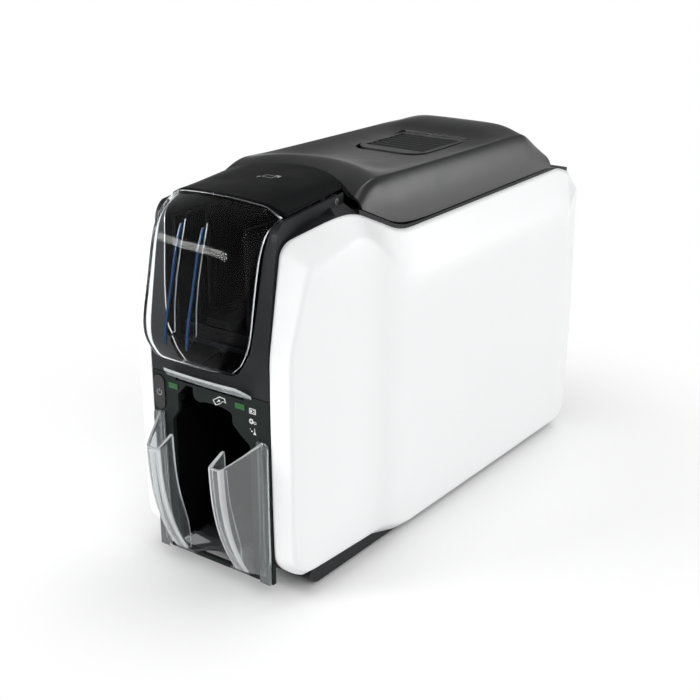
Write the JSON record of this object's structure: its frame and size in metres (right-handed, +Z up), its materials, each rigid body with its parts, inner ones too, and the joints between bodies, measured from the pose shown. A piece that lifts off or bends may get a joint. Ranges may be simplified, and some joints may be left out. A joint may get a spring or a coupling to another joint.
{
  "type": "id card printer",
  "caption": "Upright desktop card printer with white side panels, a hinged hopper door with a clear window, a hinged lid and an open output bin.",
  "frame": {"origin": "centre of the overall footprint at the height of the surface that the feet stand on", "axes": "+Z up; -Y towards the front with the card hopper and output bin, +Y to the rear with the ports; +X to the right seen from the front"},
  "size_m": [0.15, 0.3995, 0.2657],
  "materials": {
    "panel_white": "satin",
    "shell_black": "fine grain",
    "lid_black": "satin",
    "button_black": "satin",
    "plate_grey": "satin",
    "works_black": "matte",
    "bin_smoke": "smoky clear plastic",
    "window_clear": "clear plastic",
    "rib_blue": "blue clear plastic",
    "light_green": "green clear plastic",
    "foot_rubber": "matte",
    "roller_rubber": "matte",
    "pinch_grey": "matte",
    "cleaning_blue": "tacky",
    "sheet_steel": "brushed",
    "pin_steel": "polished",
    "head_metal": "cast",
    "nylon": "moulded",
    "ribbon_blue": "film",
    "brass": "cut",
    "motor_metal": "plated",
    "belt_black": "matte",
    "board_green": "coated",
    "port_metal": "plated",
    "inlet_black": "satin"
  },
  "bodies": {
    "printer": {"side_panel_left": "panel_white", "side_panel_right": "panel_white", "base_pan": "shell_black", "rubber_feet": "foot_rubber", "front_frame": "shell_black", "lower_front_plate": "plate_grey", "manual_feed_visor": "window_clear", "power_button_spring": "pin_steel", "status_light_guides": "light_green", "output_bin": "bin_smoke", "output_well": "works_black", "door_hinge_pins": "pin_steel", "hopper_tray": "works_black", "card_chute": "works_black", "lid_hinge_pin": "pin_steel", "deck_frame": "shell_black", "rear_panel": "shell_black", "power_inlet": "inlet_black", "usb_port": "port_metal", "network_port": "port_metal", "chassis_left": "sheet_steel", "chassis_right": "sheet_steel", "cross_bars": "sheet_steel", "latch_bar": "sheet_steel", "ribbon_cartridge": "nylon", "ribbon_film": "ribbon_blue", "ribbon_motor": "motor_metal", "drive_motor": "motor_metal", "drive_belt": "belt_black", "circuit_board": "board_green", "panel_screws": "pin_steel"},
    "lid": {"lid_cover": "lid_black", "release_spring": "pin_steel", "lid_latch_pin": "pin_steel", "head_bracket": "sheet_steel", "print_head": "head_metal"},
    "door": {"hopper_door": "lid_black", "hopper_window": "window_clear", "window_guide_ribs": "rib_blue"},
    "release_button": {"lid_release_button": "button_black"},
    "latch_hook": {"lid_latch_hook": "works_black"},
    "power_button_body": {"power_button": "button_black"},
    "card_weight_body": {"card_weight": "works_black"},
    "platen": {"platen_roller": "roller_rubber"},
    "pick": {"pick_roller": "roller_rubber"},
    "front_transport": {"front_transport_roller": "roller_rubber"},
    "rear_transport": {"rear_transport_roller": "roller_rubber"},
    "front_pinch": {"front_pinch_roller": "pinch_grey"},
    "rear_pinch": {"rear_pinch_roller": "pinch_grey"},
    "cleaning": {"cleaning_roller": "cleaning_blue"},
    "supply_spool": {"ribbon_supply_spool": "ribbon_blue"},
    "takeup_spool": {"ribbon_takeup_spool": "ribbon_blue"},
    "idler": {"idler_gear": "nylon"},
    "motor_pinion_body": {"motor_pinion": "brass"},
    "ribbon_pinion_body": {"ribbon_pinion": "brass"}
  },
  "joints": [
    {"name": "lid_hinge", "type": "hinge", "parent": "printer", "child": "lid", "pos_m": [0, 0.162, 0.231], "axis": [-1, 0, 0], "range_deg": [0, 75]},
    {"name": "door_hinge", "type": "hinge", "parent": "printer", "child": "door", "pos_m": [0, -0.102, 0.251], "axis": [-1, 0, 0], "range_deg": [0, 65]},
    {"name": "lid_release_slide", "type": "slide", "parent": "lid", "child": "release_button", "axis": [0, -1, 0], "range_m": [0, 0.004], "stiffness_N_per_m": 400, "deforming": ["release_spring"]},
    {"name": "latch_turn", "type": "hinge", "parent": "lid", "child": "latch_hook", "pos_m": [0, -0.022, 0.232], "axis": [1, 0, 0], "range_deg": [0, 20.7]},
    {"name": "power_button_press", "type": "slide", "parent": "printer", "child": "power_button_body", "axis": [0, 1, 0], "range_m": [0, 0.0012], "stiffness_N_per_m": 500, "deforming": ["power_button_spring"]},
    {"name": "card_weight_lift", "type": "slide", "parent": "printer", "child": "card_weight_body", "axis": [0, 0, 1], "range_m": [0, 0.07]},
    {"name": "platen_spin", "type": "hinge", "parent": "printer", "child": "platen", "pos_m": [0, 0.033, 0.141], "axis": [1, 0, 0], "continuous": true},
    {"name": "idler_spin", "type": "hinge", "parent": "printer", "child": "idler", "pos_m": [0, 0.05924, 0.11898], "axis": [1, 0, 0], "continuous": true},
    {"name": "motor_spin", "type": "hinge", "parent": "printer", "child": "motor_pinion_body", "pos_m": [0, 0.07611, 0.09888], "axis": [1, 0, 0], "continuous": true},
    {"name": "front_transport_spin", "type": "hinge", "parent": "printer", "child": "front_transport", "pos_m": [0, -0.047, 0.142], "axis": [1, 0, 0], "continuous": true},
    {"name": "rear_transport_spin", "type": "hinge", "parent": "printer", "child": "rear_transport", "pos_m": [0, 0.113, 0.142], "axis": [1, 0, 0], "continuous": true},
    {"name": "front_pinch_spin", "type": "hinge", "parent": "printer", "child": "front_pinch", "pos_m": [0, -0.047, 0.1539], "axis": [1, 0, 0], "continuous": true},
    {"name": "rear_pinch_spin", "type": "hinge", "parent": "printer", "child": "rear_pinch", "pos_m": [0, 0.113, 0.1539], "axis": [1, 0, 0], "continuous": true},
    {"name": "cleaning_spin", "type": "hinge", "parent": "printer", "child": "cleaning", "pos_m": [0, -0.071, 0.1539], "axis": [1, 0, 0], "continuous": true},
    {"name": "pick_spin", "type": "hinge", "parent": "printer", "child": "pick", "pos_m": [0, -0.117, 0.158], "axis": [1, 0, 0], "continuous": true},
    {"name": "takeup_spin", "type": "hinge", "parent": "printer", "child": "takeup_spool", "pos_m": [0, -0.012, 0.18], "axis": [1, 0, 0], "continuous": true},
    {"name": "ribbon_motor_spin", "type": "hinge", "parent": "printer", "child": "ribbon_pinion_body", "pos_m": [0, -0.02113, 0.1642], "axis": [1, 0, 0], "continuous": true},
    {"name": "supply_spin", "type": "hinge", "parent": "printer", "child": "supply_spool", "pos_m": [0, 0.078, 0.18], "axis": [1, 0, 0], "continuous": true}
  ],
  "couplings": [
    {"joint": "latch_turn", "follows": "lid_release_slide", "rad_per_m": 90},
    {"joint": "idler_spin", "follows": "platen_spin", "ratio": -0.7},
    {"joint": "motor_spin", "follows": "platen_spin", "ratio": 2.3333},
    {"joint": "front_transport_spin", "follows": "platen_spin", "ratio": 1.1667},
    {"joint": "rear_transport_spin", "follows": "platen_spin", "ratio": 1.1667},
    {"joint": "front_pinch_spin", "follows": "platen_spin", "ratio": -1.4},
    {"joint": "rear_pinch_spin", "follows": "platen_spin", "ratio": -1.4},
    {"joint": "ribbon_motor_spin", "follows": "takeup_spin", "ratio": -2},
    {"joint": "supply_spin", "follows": "takeup_spin", "ratio": 0.60714}
  ]
}
